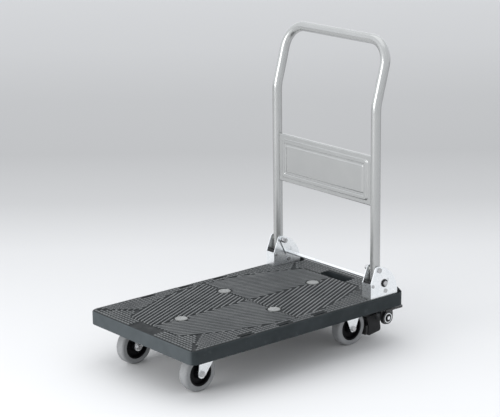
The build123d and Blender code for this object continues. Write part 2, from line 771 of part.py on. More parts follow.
with BuildPart() as springs:
    coil_r = pivot_bolt_r + 2.4
    coil_pitch = (spring_length - 2 * spring_wire_r) / spring_turns
    for s in sides:
        start_y = s * (arm_inner_y - side_gap - spring_wire_r)
        with BuildLine() as coil:
            Helix(
                coil_pitch,
                spring_turns * coil_pitch,
                coil_r,
                center=(post_x, start_y, pivot_z),
                direction=(0, -s, 0),
            )
        with BuildSketch(Plane(origin=coil.line @ 0, z_dir=coil.line % 0)):
            Circle(spring_wire_r)
        sweep()
save(springs, "release_springs")


# ---------------------------------------------------------------- brake
# The arms are drawn with the brake on, about the brake axis, then tipped back by the travel.
tip = radians(-brake_travel)
wheel_dx = rear_axle_x - brake_x
wheel_dz = axle_z - brake_axis_z


def brake_plane(y):
    """A plane square to Y through the brake axis, turned with the brake off."""
    return Plane(
        origin=(brake_x, y, brake_axis_z),
        x_dir=(cos(tip), 0, -sin(tip)),
        z_dir=(0, -1, 0),
    )


pad_inner_r = wheel_r + pad_gap_on
pad_outer_r = pad_inner_r + pad_thickness
arm_front = -51.0
arm_rear = -1.0
pad_half_height = 12.0
pad_below_axle = 12.0      # keeps the pad below the line from the axle to the brake axis
arm_low = -45.0
arm_high = 8.0


def make_brake_arm(side):
    y = side * wheel_y
    with BuildPart() as arm:
        with BuildSketch(brake_plane(y)) as profile:
            with Locations(((arm_front + arm_rear) / 2, (arm_low + arm_high) / 2)):
                RectangleRounded(arm_rear - arm_front, arm_high - arm_low, 7.0)
            Circle(brake_tube_r + 4.0)
            with Locations((wheel_dx, wheel_dz)):
                Circle(pad_outer_r + fit_gap, mode=Mode.SUBTRACT)
        extrude(amount=brake_arm_width / 2, both=True)
        with BuildSketch(brake_plane(y)):
            with Locations(((arm_front + 30.0) / 2, arm_low)):
                Rectangle(30.0 - arm_front, 2 * (-arm_low - brake_tube_r - 6.0))
            with Locations((wheel_dx, wheel_dz)):
                Circle(pad_outer_r + brake_arm_sheet, mode=Mode.SUBTRACT)
        extrude(amount=brake_arm_width / 2 - brake_arm_sheet, both=True, mode=Mode.SUBTRACT)
        far = brake_arm_width
        bar_y(brake_x, brake_axis_z, brake_tube_r + fit_gap, y - far, y + far, Mode.SUBTRACT)
    save(arm, f"brake_arm_{side_name[side]}")
    with BuildPart() as pad:
        with BuildSketch(brake_plane(y)):
            with Locations((wheel_dx, wheel_dz)):
                Circle(pad_outer_r)
                Circle(pad_inner_r, mode=Mode.SUBTRACT)
            with Locations((wheel_dx / 2, wheel_dz - pad_below_axle)):
                Rectangle(-wheel_dx, 2 * pad_half_height, mode=Mode.INTERSECT)
        extrude(amount=brake_arm_width / 2 - 2.0, both=True)
    save(pad, f"brake_pad_{side_name[side]}")


for side in sides:
    make_brake_arm(side)

with BuildPart() as brake_tube:
    bar_y(brake_x, brake_axis_z, brake_tube_r, -brake_tube_half, brake_tube_half)
    bore = brake_tube_r - brake_tube_wall
    bar_y(brake_x, brake_axis_z, bore, -brake_tube_half, brake_tube_half, Mode.SUBTRACT)
save(brake_tube, "brake_tube")

with BuildPart() as brake_plugs:
    for s in sides:
        plug_in = s * (brake_tube_half - 12.0)
        bar_y(brake_x, brake_axis_z, bore - fit_gap, plug_in, s * (brake_tube_half - 2.0))
        hexagon(plane_y(brake_x, s * (brake_tube_half - 2.0), brake_axis_z, s), 13.0, 3.0)
save(brake_plugs, "brake_tube_plugs")

hanger_bush_r = brake_tube_r + running_gap + 1.9


def make_hanger(side):
    inner = side * hanger_y
    outer = side * (hanger_y + hanger_sheet)
    flange_y = side * (hanger_y + hanger_sheet - hanger_flange)
    low_y, high_y = sorted((outer, flange_y))
    with BuildPart() as hanger:
        with BuildSketch(plane_y(brake_x, inner, 0, side)):
            with Locations((0, -side * brake_axis_z)):
                Circle(hanger_r)
            with Locations((0, -side * (caster_height - 1.5))):
                Rectangle(2 * hanger_half_length - 14.0, 3.0)
            make_hull()
        extrude(amount=hanger_sheet)
        block(
            brake_x - hanger_half_length,
            brake_x + hanger_half_length,
            low_y,
            high_y,
            caster_height - hanger_sheet,
            caster_height,
        )
        far = 2 * hanger_r
        bar_y(brake_x, brake_axis_z, hanger_bush_r + fit_gap, inner - far, inner + far, Mode.SUBTRACT)
        for x, y in hanger_screws_at:
            bar_z(x, y, hanger_screw_r + 0.3, plate_z - 2, caster_height + 2, Mode.SUBTRACT)
    save(hanger, f"brake_hanger_{side_name[side]}")


for side in sides:
    make_hanger(side)

with BuildPart() as hanger_bushes:
    for s in sides:
        bar_y(
            brake_x,
            brake_axis_z,
            hanger_bush_r,
            s * (hanger_y - 0.5),
            s * (hanger_y + hanger_sheet + 0.5),
        )
    bar_y(
        brake_x,
        brake_axis_z,
        brake_tube_r + running_gap,
        -2 * brake_tube_half,
        2 * brake_tube_half,
        Mode.SUBTRACT,
    )
save(hanger_bushes, "hanger_bushes")

with BuildPart() as hanger_screws:
    for x, y in hanger_screws_at:
        hexagon(Plane(origin=(x, y, caster_height - hanger_sheet), z_dir=(0, 0, -1)), 10.0, 4.0)
        bar_z(x, y, hanger_screw_r, plate_z - 1.0, caster_height + hanger_screw_depth - 1.0)
save(hanger_screws, "hanger_screws")

# The pedal: a tread plate behind the right hanger, with an arm down to the brake tube.
pedal_toe_x = deck_rear_x + pedal_overhang
pedal_heel_x = brake_x - 24.0
pedal_outer_y = -(brake_tube_half + 15.0)
pedal_inner_y = pedal_outer_y + 100.0
pedal_arm_y0 = -(brake_tube_half - 1.0)
pedal_arm_y1 = -(hanger_y + hanger_sheet + 1.0)
pedal_clear_x = brake_x + hanger_r + 5.0
with BuildPart() as pedal:
    with BuildSketch(Plane.XY.offset(pedal_z)) as tread:
        with Locations(((pedal_heel_x + pedal_toe_x) / 2, (pedal_outer_y + pedal_arm_y1) / 2)):
            Rectangle(pedal_toe_x - pedal_heel_x, pedal_arm_y1 - pedal_outer_y)
        with Locations(((pedal_clear_x + pedal_toe_x) / 2, (pedal_outer_y + pedal_inner_y) / 2)):
            Rectangle(pedal_toe_x - pedal_clear_x, pedal_inner_y - pedal_outer_y)
        fillet(tread.vertices().group_by(Axis.X)[-1], 6.0)
    extrude(amount=pedal_sheet)
    fillet(pedal.faces().sort_by(Axis.Z)[-1].edges(), 1.5)
    bar_y(brake_x, brake_axis_z, brake_tube_r + 4.0, pedal_arm_y0, pedal_arm_y1)
    block(
        brake_x + 4.0,
        brake_x + brake_tube_r + 4.0,
        pedal_arm_y0,
        pedal_arm_y1,
        brake_axis_z,
        pedal_z + 1.0,
    )
    bar_y(
        brake_x,
        brake_axis_z,
        brake_tube_r + fit_gap,
        2 * pedal_arm_y0,
        pedal_arm_y1 / 2,
        Mode.SUBTRACT,
    )
save(pedal, "brake_pedal")
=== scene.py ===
import json
import math

import bmesh
import bpy
from mathutils import Matrix, Vector


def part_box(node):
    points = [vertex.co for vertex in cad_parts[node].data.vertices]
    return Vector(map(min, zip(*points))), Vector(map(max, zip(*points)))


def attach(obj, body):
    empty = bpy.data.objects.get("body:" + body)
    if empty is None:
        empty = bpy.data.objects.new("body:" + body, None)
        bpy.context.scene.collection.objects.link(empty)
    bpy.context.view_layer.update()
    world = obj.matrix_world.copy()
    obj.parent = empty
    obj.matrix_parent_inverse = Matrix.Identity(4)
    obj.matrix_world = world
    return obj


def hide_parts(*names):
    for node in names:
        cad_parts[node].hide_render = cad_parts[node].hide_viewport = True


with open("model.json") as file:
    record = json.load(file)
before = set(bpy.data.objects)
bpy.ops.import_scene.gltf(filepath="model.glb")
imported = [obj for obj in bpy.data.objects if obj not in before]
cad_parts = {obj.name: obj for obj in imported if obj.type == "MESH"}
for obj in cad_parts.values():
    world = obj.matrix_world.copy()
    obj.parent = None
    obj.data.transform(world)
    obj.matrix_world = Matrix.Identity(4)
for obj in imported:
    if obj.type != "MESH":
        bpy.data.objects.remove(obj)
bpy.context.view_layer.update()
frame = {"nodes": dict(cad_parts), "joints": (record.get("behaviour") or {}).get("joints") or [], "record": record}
record = frame["record"]
nodes = frame["nodes"]
mm = 0.001

# ---------------------------------------------------------------- places from the frame
deck_mount = next(m for m in record["mounts"] if m["name"] == "deck_top")
deck_low, deck_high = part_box("deck")
deck_x = (deck_low.x + deck_high.x) / 2
deck_top = deck_mount["pos_m"][2]
half_length = (deck_high.x - deck_low.x) / 2
half_width = (deck_high.y - deck_low.y) / 2
joint_at = {j["name"]: Vector(j["pos_m"]) for j in frame["joints"]}
pivot = joint_at["handle_fold"]
worn_band = 6 * mm  # width of the scuffed edge of the deck


# ---------------------------------------------------------------- materials
def shader(name):
    """A new material, its node tree and its shader node."""
    material = bpy.data.materials.new(name)
    material.use_nodes = True
    tree = material.node_tree
    return material, tree, tree.nodes["Principled BSDF"]


def place(tree, scale=(1, 1, 1), turn=(0, 0, 0)):
    """Object coordinates, scaled and turned."""
    coords = tree.nodes.new("ShaderNodeTexCoord")
    mapping = tree.nodes.new("ShaderNodeMapping")
    mapping.inputs["Scale"].default_value = scale
    mapping.inputs["Rotation"].default_value = turn
    tree.links.new(coords.outputs["Object"], mapping.inputs["Vector"])
    return mapping.outputs["Vector"]


def split_xyz(tree, vector):
    """The three coordinates of a vector, as outputs named X, Y and Z."""
    node = tree.nodes.new("ShaderNodeSeparateXYZ")
    tree.links.new(vector, node.inputs["Vector"])
    return node.outputs


def noise(tree, vector, scale, detail=4.0, roughness=0.55):
    """Soft cloudy noise, about 0.3 to 0.7."""
    node = tree.nodes.new("ShaderNodeTexNoise")
    node.inputs["Scale"].default_value = scale
    node.inputs["Detail"].default_value = detail
    node.inputs["Roughness"].default_value = roughness
    tree.links.new(vector, node.inputs["Vector"])
    return node.outputs["Fac"]


def cells(tree, vector, scale):
    """Distance from the nearest of many scattered points."""
    node = tree.nodes.new("ShaderNodeTexVoronoi")
    node.inputs["Scale"].default_value = scale
    tree.links.new(vector, node.inputs["Vector"])
    return node.outputs["Distance"]


def remap(tree, value, low, high, to_low=0.0, to_high=1.0):
    """value moved from the range low to high onto the range to_low to to_high, and limited to it."""
    node = tree.nodes.new("ShaderNodeMapRange")
    node.inputs["From Min"].default_value = low
    node.inputs["From Max"].default_value = high
    node.inputs["To Min"].default_value = to_low
    node.inputs["To Max"].default_value = to_high
    tree.links.new(value, node.inputs["Value"])
    return node.outputs["Result"]


def mix(tree, factor, a, b):
    """A colour between a and b, each a colour or an output."""
    node = tree.nodes.new("ShaderNodeMix")
    node.data_type = "RGBA"
    tree.links.new(factor, node.inputs["Factor"])
    for value, socket in ((a, node.inputs[6]), (b, node.inputs[7])):
        if isinstance(value, tuple):
            socket.default_value = (*value, 1.0)
        else:
            tree.links.new(value, socket)
    return node.outputs[2]


def arithmetic(tree, operation, a, b=0.0, clamp=True):
    """A math node on a and b, each a number or an output."""
    node = tree.nodes.new("ShaderNodeMath")
    node.operation = operation
    node.use_clamp = clamp
    for value, socket in ((a, node.inputs[0]), (b, node.inputs[1])):
        if isinstance(value, (int, float)):
            socket.default_value = value
        else:
            tree.links.new(value, socket)
    return node.outputs["Value"]


def bump(tree, height, strength, distance):
    """A surface normal shaken by height."""
    node = tree.nodes.new("ShaderNodeBump")
    node.inputs["Strength"].default_value = strength
    node.inputs["Distance"].default_value = distance
    tree.links.new(height, node.inputs["Height"])
    return node.outputs["Normal"]


def connect(tree, principled, color, roughness, normal):
    """The three outputs joined to the shader's sockets."""
    for value, name in ((color, "Base Color"), (roughness, "Roughness"), (normal, "Normal")):
        tree.links.new(value, principled.inputs[name])


def moulded_plastic(
    name,
    color,
    light,
    grain=900.0,
    rough=(0.42, 0.6),
    depth=0.12 * mm,
    gloss=0.5,
    wear_and_painted_light=None,
    dirt_and_painted_shade=None,
):
    """Moulded plastic: fine spark-eroded grain, faint cloudy shade and scuffs."""
    material, tree, principled = shader(name)
    here = place(tree)
    cloud = remap(tree, noise(tree, here, 14.0), 0.35, 0.7)
    shade = mix(tree, cloud, color, light)
    scratch_at = place(tree, scale=(6, 60, 60), turn=(0, 0, 0.5))
    scratch = remap(tree, noise(tree, scratch_at, 9.0, 8.0, 0.7), 0.66, 0.72)
    scuff_and_lit_colour = tuple(min(1.0, 1.9 * c + 0.02) for c in light)
    faint = arithmetic(tree, "MULTIPLY", scratch, 0.35)
    shade = mix(tree, faint, shade, scuff_and_lit_colour)
    # edge wear, and painted light on the deck's front face
    if wear_and_painted_light is not None:
        shade = mix(tree, wear_and_painted_light(tree), shade, scuff_and_lit_colour)
    # painted shade between the deck's ribs, with some dirt
    if dirt_and_painted_shade is not None:
        shade = mix(tree, dirt_and_painted_shade(tree), shade, tuple(0.25 * c for c in color))
    fine = cells(tree, here, grain)
    rough_out = remap(tree, noise(tree, here, 40.0), 0.3, 0.7, *rough)
    normal = bump(tree, fine, 0.35, depth)
    connect(tree, principled, shade, rough_out, normal)
    principled.inputs["Specular IOR Level"].default_value = gloss
    return material


def zinc(
    name,
    color=(0.90, 0.92, 0.93),
    dark=(0.76, 0.79, 0.81),
    rough=(0.22, 0.42),
    brush=(4, 4, 90),
):
    """Bright zinc plate: soft spangle, faint brushing and small dull spots."""
    material, tree, principled = shader(name)
    here = place(tree)
    flake = cells(tree, here, 210.0)
    spangle = remap(tree, flake, 0.0, 0.9)
    cloud = remap(tree, noise(tree, here, 32.0, 6.0), 0.3, 0.7)
    shade = mix(tree, spangle, color, dark)
    shade = mix(tree, arithmetic(tree, "MULTIPLY", cloud, 0.5), shade, (0.95, 0.95, 0.95))
    spots = remap(tree, noise(tree, here, 260.0, 3.0), 0.68, 0.74)
    shade = mix(tree, arithmetic(tree, "MULTIPLY", spots, 0.4), shade, (0.3, 0.31, 0.33))
    lines = noise(tree, place(tree, scale=brush), 30.0, 5.0)
    rough_out = remap(tree, lines, 0.3, 0.7, *rough)
    normal = bump(tree, lines, 0.12, 0.05 * mm)
    connect(tree, principled, shade, rough_out, normal)
    principled.inputs["Metallic"].default_value = 1.0
    return material


def powder_coat(name, color, light, rough=(0.28, 0.42), metallic=0.0, chips=(0.25, 0.25, 0.26)):
    """Sprayed paint with orange peel, faint clouding and a few chips low down."""
    material, tree, principled = shader(name)
    here = place(tree)
    cloud = remap(tree, noise(tree, here, 11.0), 0.35, 0.68)
    shade = mix(tree, cloud, color, light)
    low_down = remap(tree, split_xyz(tree, here)["Z"], pivot.z + 60 * mm, pivot.z - 30 * mm)
    speck = remap(tree, noise(tree, here, 330.0, 2.0), 0.66, 0.69)
    chipped = arithmetic(tree, "MULTIPLY", speck, low_down)
    shade = mix(tree, chipped, shade, chips)
    peel = noise(tree, here, 420.0, 2.0)
    rough_out = remap(tree, noise(tree, here, 25.0), 0.3, 0.7, *rough)
    normal = bump(tree, peel, 0.16, 0.06 * mm)
    connect(tree, principled, shade, rough_out, normal)
    principled.inputs["Metallic"].default_value = metallic
    principled.inputs["Coat Weight"].default_value = 0.25
    principled.inputs["Coat Roughness"].default_value = 0.2
    return material


def rubber(name, color, light, rough=(0.55, 0.75), grain=1300.0):
    """Moulded rubber with dust in its grain and faint rub marks."""
    material, tree, principled = shader(name)
    here = place(tree)
    cloud = remap(tree, noise(tree, here, 30.0, 5.0), 0.35, 0.7)
    shade = mix(tree, cloud, color, light)
    patch_noise = remap(tree, noise(tree, here, 170.0, 5.0), 0.6, 0.75)
    dusty = tuple(min(1.0, 1.25 * c + 0.02) for c in light)
    shade = mix(tree, arithmetic(tree, "MULTIPLY", patch_noise, 0.4), shade, dusty)
    fine = noise(tree, here, grain, 2.0)
    rough_out = remap(tree, noise(tree, here, 60.0), 0.3, 0.7, *rough)
    normal = bump(tree, fine, 0.25, 0.1 * mm)
    connect(tree, principled, shade, rough_out, normal)
    return material


def groove_dirt_and_shade(tree):
    """Up to 0.8 on the deck's flat top, between the ribs: a mask for painted shade in the grooves, with some dirt.
    """
    height = split_xyz(tree, place(tree))["Z"]
    return remap(tree, height, deck_top - 0.4 * mm, deck_top - 0.1 * mm, 0.0, 0.8)


def edge_wear_and_lit_front(tree):
    """Paler scuffs near the deck's outer edges, and painted light on its front face, in noisy patches."""
    here = place(tree)
    split = split_xyz(tree, here)
    across = arithmetic(tree, "ABSOLUTE", split["Y"])
    shifted = arithmetic(tree, "SUBTRACT", split["X"], deck_x, clamp=False)
    along = arithmetic(tree, "ABSOLUTE", shifted)
    near_side = remap(tree, across, half_width - worn_band, half_width)
    near_end = remap(tree, along, half_length - worn_band, half_length)
    edge = arithmetic(tree, "MAXIMUM", near_side, near_end)
    patches = remap(tree, noise(tree, here, 55.0, 8.0, 0.7), 0.56, 0.7)
    worn = arithmetic(tree, "MULTIPLY", edge, patches)
    worn = arithmetic(tree, "MULTIPLY", worn, 0.3)
    # painted light: the deck's front face, which faces the key lamp, is lightened in patches
    front = remap(tree, split["X"], deck_low.x + 5 * mm, deck_low.x + 1 * mm)
    patch_noise = remap(tree, noise(tree, here, 24.0, 6.0), 0.2, 0.8, 0.6, 1.0)
    return arithmetic(tree, "MAXIMUM", worn, arithmetic(tree, "MULTIPLY", front, patch_noise))


deck_plastic = moulded_plastic(
    "deck_plastic",
    (0.020, 0.025, 0.027),
    (0.029, 0.035, 0.038),
    gloss=0.12,
    # edge scuffs, and painted light on the front face
    wear_and_painted_light=edge_wear_and_lit_front,
    # painted shade between the ribs, with some dirt
    dirt_and_painted_shade=groove_dirt_and_shade,
)
# The ribs are the deck's own plastic, made lighter: painted highlight on the rib tops, with some wear.
tread_highlight_and_wear = moulded_plastic(
    "tread_highlight_and_wear", (0.058, 0.063, 0.065), (0.095, 0.100, 0.101), rough=(0.27, 0.42)
)
black_plastic = moulded_plastic(
    "black_plastic", (0.006, 0.006, 0.007), (0.012, 0.012, 0.013), gloss=0.3
)
hub_plastic = moulded_plastic(
    "hub_plastic", (0.003, 0.003, 0.004), (0.006, 0.006, 0.007), rough=(0.3, 0.5), gloss=0.12
)
disc_plastic = moulded_plastic(
    "disc_plastic", (0.16, 0.165, 0.16), (0.24, 0.245, 0.24), rough=(0.4, 0.6), depth=0.2 * mm
)
grip_plastic = moulded_plastic("grip_plastic", (0.36, 0.365, 0.36), (0.46, 0.465, 0.46))
nylon = moulded_plastic("nylon", (0.62, 0.61, 0.56), (0.72, 0.71, 0.67), rough=(0.35, 0.5))
handle_paint = powder_coat(
    "handle_paint", (0.40, 0.405, 0.40), (0.425, 0.43, 0.425), rough=(0.2, 0.27), metallic=0.7
)
black_paint = powder_coat(
    "black_paint", (0.012, 0.012, 0.013), (0.022, 0.022, 0.023), chips=(0.4, 0.4, 0.4)
)
zinc_sheet = zinc("zinc_sheet")
# Painted shade: the fasteners are zinc like the sheet but much darker, standing in for the shade round rivet and
# nut heads.
zinc_fastener = zinc(
    "zinc_fastener", (0.42, 0.42, 0.42), (0.26, 0.26, 0.27), rough=(0.25, 0.42), brush=(60, 60, 60)
)
zinc_bolt = zinc("zinc_bolt", (0.80, 0.80, 0.80), (0.6, 0.6, 0.61), rough=(0.2, 0.35))
turned_steel = zinc(
    "turned_steel", (0.55, 0.55, 0.55), (0.5, 0.5, 0.5), rough=(0.2, 0.35), brush=(120, 3, 120)
)
spring_wire = zinc(
    "spring_wire", (0.5, 0.5, 0.51), (0.42, 0.42, 0.43), rough=(0.25, 0.4), brush=(90, 20, 90)
)
brass = zinc("brass", (0.72, 0.55, 0.26), (0.58, 0.42, 0.18), rough=(0.25, 0.4), brush=(20, 20, 90))
pad_rubber = rubber("pad_rubber", (0.012, 0.012, 0.012), (0.025, 0.025, 0.025))
tyre_rubber = rubber("tyre_rubber", (0.215, 0.22, 0.225), (0.28, 0.285, 0.29))

slot_material = {
    "deck_plastic": deck_plastic,
    "disc_plastic": disc_plastic,
    "handle_paint": handle_paint,
    "zinc_sheet": zinc_sheet,
    "zinc_fastener": zinc_fastener,
    "steel_sleeve": turned_steel,
    "spring_steel": spring_wire,
    "brass": brass,
    "black_plastic": black_plastic,
    "hub_plastic": hub_plastic,
    "nylon": nylon,
    "black_paint": black_paint,
    "pad_rubber": pad_rubber,
    "tyre_rubber": tyre_rubber,
}
node_slot = {part["node"]: part["material_slot"] for part in record["subparts"]}
for node_name, node in nodes.items():
    node.data.materials.clear()
    node.data.materials.append(slot_material[node_slot[node_name]])


# ---------------------------------------------------------------- mesh helpers
def piece(name, mesh_maker, body, material, smooth_angle=40.0):
    """A mesh object made by mesh_maker(bm) that rides on a CAD body."""
    bm = bmesh.new()
    mesh_maker(bm)
    bmesh.ops.recalc_face_normals(bm, faces=bm.faces)
    mesh = bpy.data.meshes.new(name)
    bm.to_mesh(mesh)
    bm.free()
    made = bpy.data.objects.new(name, mesh)
    bpy.context.scene.collection.objects.link(made)
    mesh.materials.append(material)
    mesh.shade_smooth()
    mesh.set_sharp_from_angle(angle=math.radians(smooth_angle))
    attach(made, body)
    return made


def skin(bm, rings):
    """A closed shape over a stack of rings, each a list of as many points."""
    loops = [[bm.verts.new(point) for point in ring] for ring in rings]
    bm.faces.new(loops[0][::-1])
    bm.faces.new(loops[-1])
    for low, high in zip(loops, loops[1:]):
        for k in range(len(low)):
            n = (k + 1) % len(low)
            bm.faces.new((low[k], low[n], high[n], high[k]))


def rib(bm, outline, low_z, top_z):
    """A raised bar with sloping flanks over four corners, given in order."""
    a, b, c, d = (Vector(p) for p in outline)
    along = (b - a).normalized()
    across = (d - a).normalized()
    inset = [
        a + (along + across) * rib_draft,
        b + (across - along) * rib_draft,
        c - (across + along) * rib_draft,
        d + (along - across) * rib_draft,
    ]
    bottom = [(p.x, p.y, low_z) for p in (a, b, c, d)]
    top = [(p.x, p.y, top_z) for p in inset]
    skin(bm, (bottom, top))


# ---------------------------------------------------------------- deck tread
tread_rise = 2.4 * mm
tread_sink = 0.4 * mm  # how far the ribs reach into the deck
pitch = 12 * mm
rib_angle = math.radians(25)
rib_slope = math.tan(rib_angle)
rib_half = 2.5 * mm
rib_draft = 1.0 * mm
rib_gap = 4.5 * mm  # from a rib's middle line to another feature
rib_shortest = 6 * mm
ribs_per_quadrant = 31
seam_half = 2.2 * mm  # clear strip between the quadrants
run_step = 0.5 * mm
stud_long = 5.6 * mm
stud_short = 2.6 * mm
stud_gap = 5 * mm
row_pitch = 10 * mm
border_inset = 9 * mm
field_radius = 600 * mm
field_half_width = 192 * mm
field_front = -322 * mm  # from the deck's middle
field_rear = 300 * mm
field_edge_gap = 0.5 * mm  # from the rib field's edge to its ribs
border_gap = 4 * mm  # from the rib field's edge to the middle of a stud
disc_low, disc_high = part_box("deck_discs")
disc_radius = 17 * mm
disc_along = (disc_high.x - disc_low.x) / 2 - disc_radius
disc_across = (disc_high.y - disc_low.y) / 2 - disc_radius
disc_places = [(-disc_along, 0), (disc_along, 0), (0, -disc_across), (0, disc_across)]
slot_box = next(o for o in record["physics"]["openings"] if o["name"] == "deck_hand_slot")["box_m"]
slot_x = (slot_box[0][0] + slot_box[1][0]) / 2 - deck_x
slot_half_x = 18 * mm
slot_half_y = 54 * mm
bracket_low, bracket_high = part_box("hinge_bracket_left")
patch_x = (-185 * mm, -60 * mm, 65 * mm)  # plain patches along both long edges
patch_y = half_width - 13 * mm
patch_half_x = 19 * mm
patch_half_y = 3 * mm
front_patch_half = 60 * mm  # half width of the plain patch at the front edge
front_patch_gap = 2 * mm


def field_edge(x):
    """Half width of the rib field at x."""
    return field_half_width - field_radius + math.sqrt(field_radius**2 - x * x)


def within(x, y, middle_x, middle_y, half_x, half_y):
    return abs(x - middle_x) < half_x and abs(y - middle_y) < half_y


def blocked(x, y, margin):
    """True where the tread stays clear of another feature of the deck."""
    side = abs(y)
    if any(math.hypot(x - a, y - b) < disc_radius + margin for a, b in disc_places):
        return True
    if within(x, y, slot_x, 0, slot_half_x + margin, slot_half_y + margin):
        return True
    beside = bracket_low.y - margin < side < bracket_high.y + margin
    if beside and x > bracket_low.x - deck_x - margin:
        return True
    half_x, half_y = patch_half_x + margin, patch_half_y + margin
    return any(within(x, side, a, patch_y, half_x, half_y) for a in patch_x)


def in_field(x, y, margin):
    """True inside the rib field, by at least the margin."""
    return field_front + margin < x < field_rear - margin and abs(y) < field_edge(x) - margin


def rib_runs(offset, side_x, side_y):
    """Stretches of one rib of a quadrant, as pairs of distances along X from the middle."""
    runs = []
    start = None
    x = seam_half
    while x < -field_front:
        y = offset - rib_slope * x
        inside = y > seam_half and in_field(side_x * x, side_y * y, field_edge_gap)
        inside = inside and not blocked(side_x * x, side_y * y, rib_gap)
        if inside and start is None:
            start = x
        if not inside and start is not None:
            runs.append((start, x))
            start = None
        x += run_step
    if start is not None:
        runs.append((start, x))
    return [run for run in runs if run[1] - run[0] > rib_shortest]


def make_ribs(bm, low_z, top_z):
    """Slanting ribs in four quadrants, mirrored about the deck's two middle lines."""
    normal = Vector((math.sin(rib_angle), math.cos(rib_angle))) * rib_half
    spacing = pitch / math.cos(rib_angle)
    for side_x in (-1, 1):
        for side_y in (-1, 1):
            for k in range(ribs_per_quadrant):
                offset = (k + 0.5) * spacing
                for run in rib_runs(offset, side_x, side_y):
                    start, end = (Vector((x, offset - rib_slope * x)) for x in run)
                    outline = (start + normal, end + normal, end - normal, start - normal)
                    placed = [(deck_x + side_x * p.x, side_y * p.y) for p in outline]
                    rib(bm, placed, low_z, top_z)


def make_border(bm, low_z, top_z):
    """Rows of long studs parallel to the nearest edge of the deck, mitred at the corners."""
    for along_x in (True, False):
        reach, depth = (half_length, half_width) if along_x else (half_width, half_length)
        count = int(reach / pitch)
        for row in range(int(depth / row_pitch)):
            from_edge = border_inset + row * row_pitch
            for k in range(-count, count + 1):
                run = k * pitch
                if reach - abs(run) < from_edge + 0.5 * pitch:
                    continue
                for side in (-1, 1):
                    across = side * (depth - from_edge)
                    x, y = (run, across) if along_x else (across, run)
                    if in_field(x, y, -border_gap) or blocked(x, y, stud_gap):
                        continue
                    if x < field_front - front_patch_gap and abs(y) < front_patch_half:
                        continue
                    half_x, half_y = (stud_long, stud_short) if along_x else (stud_short, stud_long)
                    corners = ((1, 1), (-1, 1), (-1, -1), (1, -1))
                    outline = [(deck_x + x + a * half_x, y + b * half_y) for a, b in corners]
                    rib(bm, outline, low_z, top_z)


def make_tread(bm):
    """The ribs and the border of studs."""
    low_z, top_z = deck_top - tread_sink, deck_top + tread_rise
    make_ribs(bm, low_z, top_z)
    make_border(bm, low_z, top_z)


piece("deck_tread", make_tread, "deck", tread_highlight_and_wear, 20.0)

# ---------------------------------------------------------------- grip on the discs
grip_pitch = 3.4 * mm
grip_half = 1.15 * mm
grip_rise = 0.7 * mm
grip_sink = 0.2 * mm
grip_inset = 2.4 * mm


def make_grip(bm):
    """Small blunt pyramids in a turned grid on each disc."""
    top_z = disc_high.z
    count = int(disc_radius / grip_pitch) + 1
    for px, py in disc_places:
        for i in range(-count, count + 1):
            for j in range(-count, count + 1):
                x = (i + j) * grip_pitch * math.sqrt(0.5)
                y = (i - j) * grip_pitch * math.sqrt(0.5)
                if math.hypot(x, y) > disc_radius - grip_inset:
                    continue
                x += deck_x + px
                y += py
                ends = ((grip_half, 0), (0, grip_half), (-grip_half, 0), (0, -grip_half))
                low = [(x + a, y + b, top_z - grip_sink) for a, b in ends]
                high = [(x + a / 2, y + b / 2, top_z + grip_rise) for a, b in ends]
                skin(bm, (low, high))


piece("disc_grip", make_grip, "deck", grip_plastic, 20.0)

# ---------------------------------------------------------------- bolts in the brake tube's ends
brake_at = joint_at["brake_press"]
tube_low, tube_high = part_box("brake_tube_plugs")
bolt_r = 5.5 * mm
bolt_rise = 2.0 * mm
bolt_sink = 0.3 * mm
bolt_rings = ((-bolt_sink, bolt_r), (0.7 * bolt_rise, bolt_r), (bolt_rise, 0.75 * bolt_r))


def make_end_bolts(bm):
    """A six-sided head with a bevelled face on each plug of the brake tube."""
    corners = [(math.cos(math.radians(60 * k)), math.sin(math.radians(60 * k))) for k in range(6)]
    for start, out in ((tube_low.y, -1), (tube_high.y, 1)):
        rings = []
        for rise, radius in bolt_rings:
            y = start + out * rise
            ring = [(brake_at.x + radius * a, y, brake_at.z + radius * b) for a, b in corners]
            rings.append(ring)
        skin(bm, rings)


piece("brake_end_bolts", make_end_bolts, "brake", zinc_bolt, 20.0)

# ---------------------------------------------------------------- handle panel
panel_low, panel_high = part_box("handle_panel")
panel_height = panel_high.z - panel_low.z
sheet = 1.5 * mm
press = 3.0 * mm  # height of the bead
field_press = 0.7 * press  # height of the raised middle
bead_inset = 13 * mm
bead_width = 12.7 * mm
bead_slope = 2.2 * mm
bead_corner = 9 * mm
field_inset = 17.5 * mm  # from the bead's outer edge
field_slope = 2 * mm
bend = 3 * mm
flange_rows = 4
bend_rows = 5
middle_rows = 100
columns = 240


def step(value, low, high):
    """A smooth rise from 0 at low to 1 at high."""
    t = max(0.0, min(1.0, (value - low) / (high - low)))
    return t * t * (3 - 2 * t)


def panel_rise(y, z):
    """How far the pressed sheet stands forward at a point of the panel."""
    a = panel_high.y - abs(y) - bead_inset
    b = panel_height / 2 - abs(z - (panel_high.z + panel_low.z) / 2) - bead_inset
    depth = min(a, b)
    if a < bead_corner and b < bead_corner:
        depth = bead_corner - math.hypot(bead_corner - a, bead_corner - b)
    bead = step(depth, 0, bead_slope) - step(depth, bead_width - bead_slope, bead_width)
    return press * bead + field_press * step(depth, field_inset, field_inset + field_slope)


def panel_rows():
    """Distance back and distance down of each row of points, from the top flange to the lower."""
    flange = panel_high.x - panel_low.x - press
    edge = [(flange - (flange - bend) * k / flange_rows, 0.0) for k in range(flange_rows + 1)]
    for k in range(1, bend_rows + 1):
        angle = math.radians(90 * k / bend_rows)
        edge.append((bend * (1 - math.sin(angle)), bend * (1 - math.cos(angle))))
    flat = panel_height - 2 * bend
    middle = [(0.0, bend + flat * k / middle_rows) for k in range(1, middle_rows)]
    return edge + middle + [(back, panel_height - down) for back, down in reversed(edge)]


